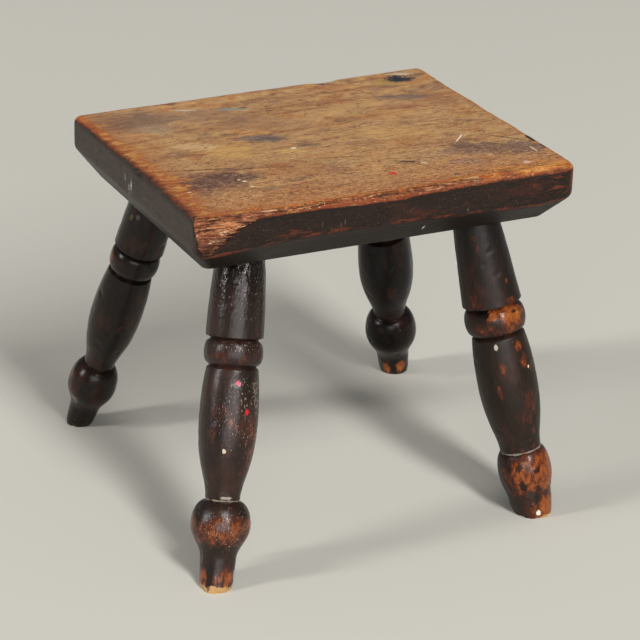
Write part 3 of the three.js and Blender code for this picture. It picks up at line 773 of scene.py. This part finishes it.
def hand_turned(leg, place):
    """Moves a point of a leg in or out for its unevenness, its dents and its worn foot"""
    above_floor = (leg.place @ place).z
    spot = place + leg.seed
    depth = UNEVENNESS * noise.noise(spot / (26 * MM)) + CHATTER * noise.noise(spot / (7 * MM))
    depth += DENT_DEPTH * eased(noise.noise(spot / (9 * MM) + Vector((5, 5, 5))), 0.35, 0.7)
    worn_foot = 1 - eased(above_floor, 0, WORN_FOOT)
    chipped = eased(noise.noise(spot / (6 * MM) - Vector((3, 3, 3))), 0.05, 0.4)
    depth += worn_foot * MM * (0.5 + 1.6 * chipped)
    radius = math.hypot(place.x, place.y)
    share = max(radius - depth, 0) / radius
    return Vector((place.x * share, place.y * share, place.z))


def worn_amount(leg_place, zones):
    """How far a point lies inside the worn zones of a leg. A zone has its height along the leg and
    its facing angle, its half length and half angle, and how strong it is."""
    facing = math.degrees(math.atan2(leg_place.y, leg_place.x))
    most = 0
    for height, angle, half_length, half_angle, strength in zones:
        rise = (leg_place.z / MM - height) / half_length
        if abs(rise) < ZONE_RIM:
            turn = ((facing - angle + 180) % 360 - 180) / half_angle
            most = max(most, strength * (1 - eased(math.hypot(rise, turn), ZONE_CORE, ZONE_RIM)))
    return most


ALL_ROUND = 1000
RUBBED = {
    "leg_front_left": [
        (-194, 0, 15, ALL_ROUND, 0.6), (-230, -85, 13, 70, 0.7), (-230, -168, 12, 50, 0.7),
        (-230, 90, 12, 80, 0.7), (-74, -110, 6, 90, 0.34), (-122, -118, 24, 70, 0.3),
        (-132, -58, 30, 36, 0.36), (-118, -110, 4, 9, 0.72), (-80, 100, 12, 70, 0.4)],
    "leg_front_right": [
        (-193, -60, 22, 150, 0.8), (-226, -60, 18, 80, 0.85), (-228, 120, 15, 80, 0.6),
        (-72, -74, 9, 42, 0.95), (-70, -122, 6, 24, 0.85), (-80, -95, 9, 85, 0.5),
        (-62, -74, 4, 18, 0.65), (-58, -151, 9, 18, 0.36), (-97, -76, 6, 12, 0.72),
        (-108, -72, 10, 16, 0.6), (-110, -120, 6, 9, 0.6), (-150, -70, 34, 36, 0.38),
        (-130, -50, 44, 24, 0.32), (-128, -134, 8, 7, 0.62), (-16, -130, 10, 14, 0.3),
        (-48, -75, 3, 5, 0.6), (-76, 60, 9, 70, 0.6)],
    "leg_back_right": [
        (-221, -90, 9, 30, 1.05), (-223, -146, 8, 24, 0.75), (-188, 50, 12, 80, 0.6),
        (-75, 40, 8, 70, 0.5), (-226, 70, 9, 70, 0.8)],
    "leg_back_left": [
        (-190, 178, 12, 26, 0.34), (-229, -115, 9, 60, 0.3), (-188, 120, 12, 70, 0.5),
        (-75, 140, 8, 60, 0.5), (-228, 90, 9, 60, 0.8), (-130, -115, 36, 30, 0.2)],
}
BARE = {
    "leg_front_left": [(-239, -100, 9, ALL_ROUND, 1)],
    "leg_front_right": [(-233, -70, 6, 40, 0.95), (-236, 120, 7, 60, 0.8)],
    "leg_back_right": [(-236, 100, 7, 90, 0.7)],
    "leg_back_left": [(-238, 80, 7, 90, 0.7)],
}
FLECKED = {
    "leg_front_left": [
        (-112, -85, 36, 85, 1.2), (-190, -95, 22, 90, 1.15), (-30, -85, 34, 70, 0.8),
        (-66, -100, 5, 90, 1.4), (-97, -54, 16, 15, 2), (-106, -48, 10, 10, 2)],
    "leg_front_right": [(-215, -100, 20, 70, 0.7)],
    "leg_back_right": [],
    "leg_back_left": [(-30, -150, 12, 30, 0.5)],
}

# Paint drops, dark patches and chips, one by one: height along the leg, facing angle, half height and
# half width, colour and strength
LEG_MARKS = {
    "leg_front_left": [
        (-91, -100, 1.9, 1.4, (206, 48, 76), 1), (-110, -79, 2.2, 1.4, (196, 30, 36), 1),
        (-138, -119, 1.5, 1.3, (206, 188, 160), 0.9), (-171, -108, 0.9, 4, (166, 156, 144), 0.8),
        (-226, -142, 9, 2.4, (24, 18, 15), 0.9), (-224, -112, 7, 1.5, (52, 28, 20), 0.8)],
    "leg_front_right": [
        (-94, -126, 1.9, 1.3, (186, 176, 156), 0.9), (-114, -64, 0.9, 0.9, (230, 214, 184), 1),
        (-225, -102, 2, 1.7, (224, 218, 200), 1), (-69, -139, 3, 5.5, (18, 14, 13), 1),
        (-71, -71, 1.8, 1.8, (22, 16, 14), 0.9), (-192, -91, 4, 3, (28, 20, 17), 0.9),
        (-201, -126, 4, 5, (26, 19, 16), 0.9), (-210, -113, 6, 2.2, (50, 44, 40), 0.85),
        (-187, -130, 3, 3, (30, 21, 18), 0.8), (-217, -154, 10, 6, (44, 30, 24), 0.8)],
    "leg_back_right": [(-222, -116, 8, 2.4, (26, 20, 17), 0.9)],
    "leg_back_left": [
        (-33, -163, 2.8, 1.7, (112, 104, 50), 0.35), (-30, -146, 1.8, 1.6, (110, 108, 100), 0.3),
        (-203, -158, 4, 4, (110, 106, 102), 0.5)],
}
# The colour of the stain where nothing has worn it, darker on the back legs as painted shade, how
# strongly it shines, how dull it has grown on the turnings and at the board, how bumpy it is, and how
# strong the pale line round the neck is
LEG_STAINS_AND_SHADE = {
    "leg_front_left": ((36, 22, 16), 0.36, 0.32, 0.12, 0.3, 0.8),
    "leg_front_right": ((34, 23, 16), 0.26, 0.4, 0.4, 0.08, 0.75),
    "leg_back_right": ((14, 10, 8), 0.2, 0.26, 0.26, 0.05, 0),
    "leg_back_left": ((24, 17, 13), 0.24, 0.24, 0.24, 0.06, 0),
}


def cut_from(piece, cutter):
    """Cuts one object's shape out of another, and uses the cutter up"""
    cut = piece.modifiers.new("cut", "BOOLEAN")
    cut.operation = "DIFFERENCE"
    cut.solver = "MANIFOLD"
    cut.object = cutter
    shaped = bpy.data.meshes.new_from_object(piece.evaluated_get(bpy.context.evaluated_depsgraph_get()))
    piece.modifiers.remove(cut)
    piece.data = shaped
    bpy.data.objects.remove(cutter)


def set_up(mesh, leg):
    """Moves a mesh from the Z axis to a leg's own place and splay"""
    bmesh.ops.transform(mesh, matrix=leg.place, verts=mesh.verts)


def open_edges(mesh):
    return [edge for edge in mesh.edges if edge.is_boundary]


def cut_off(mesh, height, upwards):
    """Cuts away all that lies above a height, or below it where upwards is -1"""
    everything = mesh.verts[:] + mesh.edges[:] + mesh.faces[:]
    bmesh.ops.bisect_plane(mesh, geom=everything, dist=1e-7, plane_co=(0, 0, height),
                           plane_no=(0, 0, upwards), clear_outer=True)


def leg_mesh(name, leg):
    """A turning that is sawn level at the floor and pared to the board, with its tenon"""
    turning = bmesh.new()
    wear = {"rubbed": RUBBED, "bare": BARE, "flecked": FLECKED}
    layers = {kind: turning.verts.layers.float.new(kind) for kind in wear}
    spun(turning, leg_outline(leg), TURNING_STEPS)
    for vert in turning.verts:
        for kind, zones in wear.items():
            vert[layers[kind]] = worn_amount(vert.co, zones[name])
        vert.co = hand_turned(leg, vert.co)
    set_up(turning, leg)
    cut_off(turning, 0, -1)
    at_floor = [edge for edge in open_edges(turning) if abs(edge.verts[0].co.z) < 0.01 * MM]
    bmesh.ops.contextual_create(turning, geom=at_floor)
    shoulder = UNDERSIDE - SHOULDER_GAP
    cut_off(turning, shoulder, 1)

    tenon = bmesh.new()
    spun(tenon, tenon_outline(leg, 0), HIDDEN_STEPS)
    set_up(tenon, leg)
    cut_off(tenon, shoulder, -1)
    spare = bpy.data.meshes.new("tenon")
    tenon.to_mesh(spare)
    tenon.free()
    turning.from_mesh(spare)
    bpy.data.meshes.remove(spare)
    bmesh.ops.bridge_loops(turning, edges=open_edges(turning))
    bmesh.ops.recalc_face_normals(turning, faces=turning.faces)
    return object_from(turning, name.replace("leg", "turned_leg"))


def kerf(leg):
    """The saw kerf that the wedge fills, across the grain of the board"""
    block = bmesh.new()
    bmesh.ops.create_cube(block, size=1)
    for vert in block.verts:
        at_head = vert.co.z > 0
        half = (WEDGE_HEAD if at_head else WEDGE_TIP) / 2 + TENON_CLEARANCE
        height = leg.tenon_end + TENON_CLEARANCE if at_head else TENON_STRAIGHT - TENON_CLEARANCE
        vert.co = Vector((math.copysign(half, vert.co.x), vert.co.y * 4 * TENON_RADIUS, height))
    set_up(block, leg)
    return object_from(block, "kerf")


def socket(leg):
    """The blind hole in the board, bored at the leg's splay and undercut for its spread tenon"""
    hole = bmesh.new()
    outline = Outline(0, -TENON_STRAIGHT, HIDDEN_ROW)
    outline.line(TENON_RADIUS + TENON_CLEARANCE, -TENON_STRAIGHT)
    outline.points += tenon_outline(leg, TENON_CLEARANCE).points[1:]
    spun(hole, outline, HIDDEN_STEPS)
    set_up(hole, leg)
    bmesh.ops.recalc_face_normals(hole, faces=hole.faces)
    return object_from(hole, "socket")


def leg_stain(name, leg):
    colour, gloss, dull, dull_at_board, bumpy, scored = LEG_STAINS_AND_SHADE[name]
    stain = Finish(name + "_stain", gloss, colour)
    stain.place = stain.turned(leg.origin, leg.turn)
    along = stain.axes()[2]
    patches = stain.mottle((14, 14, 30), detail=4, coarse=0.6, centre=leg.seed)
    fibres = stain.mottle((0.9, 0.9, 11), detail=3, coarse=0.6, centre=leg.seed)
    grain = stain.mottle((4.5, 4.5, 7), detail=6, coarse=0.7, centre=leg.seed)
    specks = stain.mottle((0.9, 0.9, 1.7), detail=1, centre=leg.seed)
    lumps = stain.mottle((2.6, 2.6, 3.6), detail=2, centre=leg.seed)
    near_board = stain.rise(along, -58 * MM, -8 * MM)
    stain.coats(None, ((60, 33, 25), patches, 0.47, 0.66, 0.55), ((15, 12, 11), patches, 0.46, 0.34, 0.5),
                ((15, 12, 11), fibres, 0.48, 0.32, 0.5))
    stain.coat((14, 12, 11), near_board, 0.75)
    stain.coats(None, ((74, 60, 50), fibres, 0.6, 0.74, 0.3))

    # Rubbed places: dark red first, then orange, then the pale wood, broken up along the grain
    rubbed = stain.nudged(stain.nudged(stain.carried("rubbed"), grain, 1.7), patches, 0.9)
    rubbed = stain.nudged(rubbed, fibres, 0.6)
    bare = stain.nudged(stain.carried("bare"), grain, 1.6)
    flecks = stain.scaled(stain.carried("flecked"), 0.13, specks)
    stain.coats(None, ((76, 36, 23), rubbed, 0.28, 0.58, 0.9), ((138, 72, 32), rubbed, 0.54, 0.9, 1),
                ((176, 108, 50), rubbed, 0.92, 1.25, 0.85))
    stain.coats(stain.rise(rubbed, 0.3, 0.6), ((54, 27, 19), fibres, 0.46, 0.34, 0.45))
    stain.coats(None, ((186, 146, 94), bare, 0.45, 0.65, 0.9), ((160, 142, 122), flecks, 0.78, 0.86, 0.65))

    for height, angle, half_height, half_width, colour, strength in LEG_MARKS[name]:
        radius = min(leg_outline(leg).points, key=lambda point: abs(point.z - height * MM)).x
        facing = math.radians(angle)
        centre = (radius * math.cos(facing), radius * math.sin(facing), height * MM)
        reach = stain.reach(centre, (half_width * MM, half_width * MM, half_height * MM))
        stain.coats(None, (colour, stain.nudged(reach, grain, 3.5), 1.2, 0.7, strength))
    if scored:
        line = stain.nudged(stain.away(along, leg.neck - NECK_LINE_WIDTH / 2), grain, 2.5 * MM)
        stain.coats(None, ((156, 146, 130), line, 0.7 * MM, 0.3 * MM, scored))

    stain.roughness = dull
    stain.rub(dull_at_board, near_board)
    stain.rub(0.17, stain.rise(rubbed, 0.4, 0.7))
    stain.rub(0.7, stain.rise(bare, 0.5, 0.6))
    stain.lift(stain.both(lumps, stain.scaled(near_board, 1.3, 0.7)), bumpy * MM)
    stain.lift(fibres, 0.05 * MM)
    stain.lift(grain, 0.07 * MM)
    return stain.done()


for name, leg in LEGS.items():
    cut_from(board, socket(leg))
    turned_leg = leg_mesh(name, leg)
    cut_from(turned_leg, kerf(leg))
    turned_leg.data.set_sharp_from_angle(angle=math.radians(50))
    turned_leg.data.materials.clear()
    turned_leg.data.materials.append(leg_stain(name, leg))
    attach(turned_leg, "root")
    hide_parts(name)
board.data.set_sharp_from_angle(angle=math.radians(60))


# The wedges
# Each is a riven sliver of pale dry wood, left bare. It waited in the kerf of its tenon, and the
# bottom of the socket drove it home.
wedge_wood = Finish("bare_wedge_wood", 0.3, (186, 146, 98))
riven = wedge_wood.mottle((1.2, 1.2, 9), detail=3, coarse=0.6)
wedge_wood.coats(None, ((150, 108, 66), riven, 0.5, 0.36, 1), ((208, 174, 128), riven, 0.56, 0.7, 1))
wedge_wood.roughness = wedge_wood.scaled(riven, 0.2, 0.65)
wedge_wood.lift(riven, 0.1 * MM)
wedge_finish = wedge_wood.done()
for name in LEGS:
    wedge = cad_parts[name.replace("leg", "wedge")]
    wedge.data.materials.clear()
    wedge.data.materials.append(wedge_finish)


# The floor, the light and the camera
# A pale seamless floor under studio lamps: a tall narrow one at the front, a weaker one at the left
# and a wide faint one low in front. Pale light comes from all round the room.
FLOOR_HALF = 6
LAMP_DISTANCE = 12


def lamp(name, azimuth, elevation, width, height, strength):
    """A soft lamp seen from the stool in a direction in degrees, which lights a surface that faces
    it as strongly as the given share of white"""
    light = bpy.data.lights.new(name, "AREA")
    light.shape = "RECTANGLE"
    light.size = width
    light.size_y = height
    light.energy = math.pi ** 2 * strength * LAMP_DISTANCE ** 2
    made = bpy.data.objects.new(name, light)
    bpy.context.scene.collection.objects.link(made)
    level = math.cos(math.radians(elevation))
    towards = Vector((level * math.cos(math.radians(azimuth)), level * math.sin(math.radians(azimuth)),
                      math.sin(math.radians(elevation))))
    made.location = towards * LAMP_DISTANCE
    made.rotation_euler = towards.to_track_quat("Z", "Y").to_euler()


lamp("front_lamp", -87, 44, 1.6, 7, 0.73)
lamp("left_lamp", 176, 29, 1.5, 5.6, 0.43)
lamp("low_lamp", -105, 15, 11, 5, 0.45)

ground = bmesh.new()
bmesh.ops.create_grid(ground, x_segments=1, y_segments=1, size=FLOOR_HALF)
floor = object_from(ground, "floor")
paper = bpy.data.materials.new("floor_paper")
paper.use_nodes = True
paper_shader = paper.node_tree.nodes["Principled BSDF"]
paper_shader.inputs["Base Color"].default_value = tint(206, 203, 193)
paper_shader.inputs["Roughness"].default_value = 0.9
paper_shader.inputs["Specular IOR Level"].default_value = 0.1
floor.data.materials.append(paper)

world = bpy.data.worlds.new("studio")
bpy.context.scene.world = world
world.use_nodes = True
world.node_tree.nodes["Background"].inputs["Color"].default_value = (1, 0.99, 0.97, 1)
world.node_tree.nodes["Background"].inputs["Strength"].default_value = 0.2

# Fitted to the photograph: where the camera stands, and which ways are right and up in its picture
CAMERA_PLACE = Vector((-0.8090, -1.6148, 0.9263))
CAMERA_RIGHT = Vector((0.8986, -0.4378, 0.0292))
CAMERA_UP = Vector((0.1545, 0.3779, 0.9128))
CAMERA_LENS = 151.76
eye = bpy.data.cameras.new("photo_camera")
eye.lens = CAMERA_LENS
eye.sensor_width = 36
camera = bpy.data.objects.new("photo_camera", eye)
bpy.context.scene.collection.objects.link(camera)
backwards = CAMERA_RIGHT.cross(CAMERA_UP).normalized()
sideways = CAMERA_UP.cross(backwards).normalized()
upwards = backwards.cross(sideways)
turn = Matrix((sideways, upwards, backwards)).transposed().to_4x4()
camera.matrix_world = Matrix.Translation(CAMERA_PLACE) @ turn
bpy.context.scene.camera = camera
bpy.context.scene.view_settings.view_transform = "Standard"
